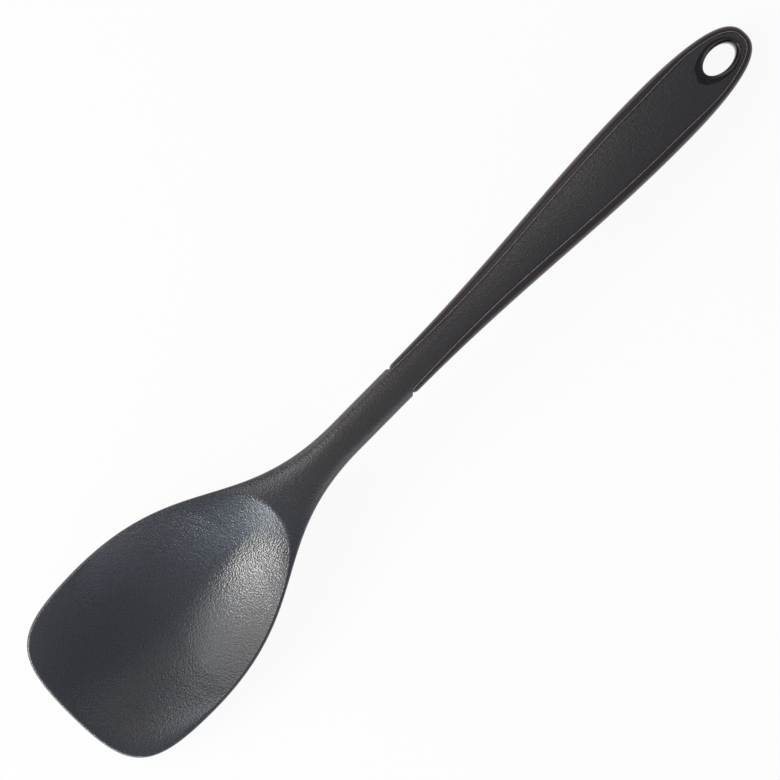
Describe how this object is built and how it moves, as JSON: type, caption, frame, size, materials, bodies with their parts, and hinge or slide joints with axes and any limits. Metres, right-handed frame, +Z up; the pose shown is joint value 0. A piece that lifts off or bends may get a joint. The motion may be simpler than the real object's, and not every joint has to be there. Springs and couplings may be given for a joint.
{
  "type": "serving spoon",
  "caption": "Dark nylon serving spoon with a blunt-fronted bowl, a slim neck and a broad arched handle edged by a glossy band, with an oval hanging hole.",
  "frame": {"origin": "on the table, under the middle of the spoon's bounding box", "axes": "+X runs along the spoon from the bowl to the handle's tip, +Z is up out of the bowl as the spoon lies on a table, and +Y is across it"},
  "size_m": [0.33, 0.0678, 0.0299],
  "materials": {
    "matt_nylon": "fine-grained matt moulded nylon, charcoal grey",
    "gloss_overmould": "glossy black overmoulding"
  },
  "bodies": {
    "root": {"spoon_core": "matt_nylon", "grip_band": "gloss_overmould", "hole_liner": "gloss_overmould"}
  },
  "joints": []
}
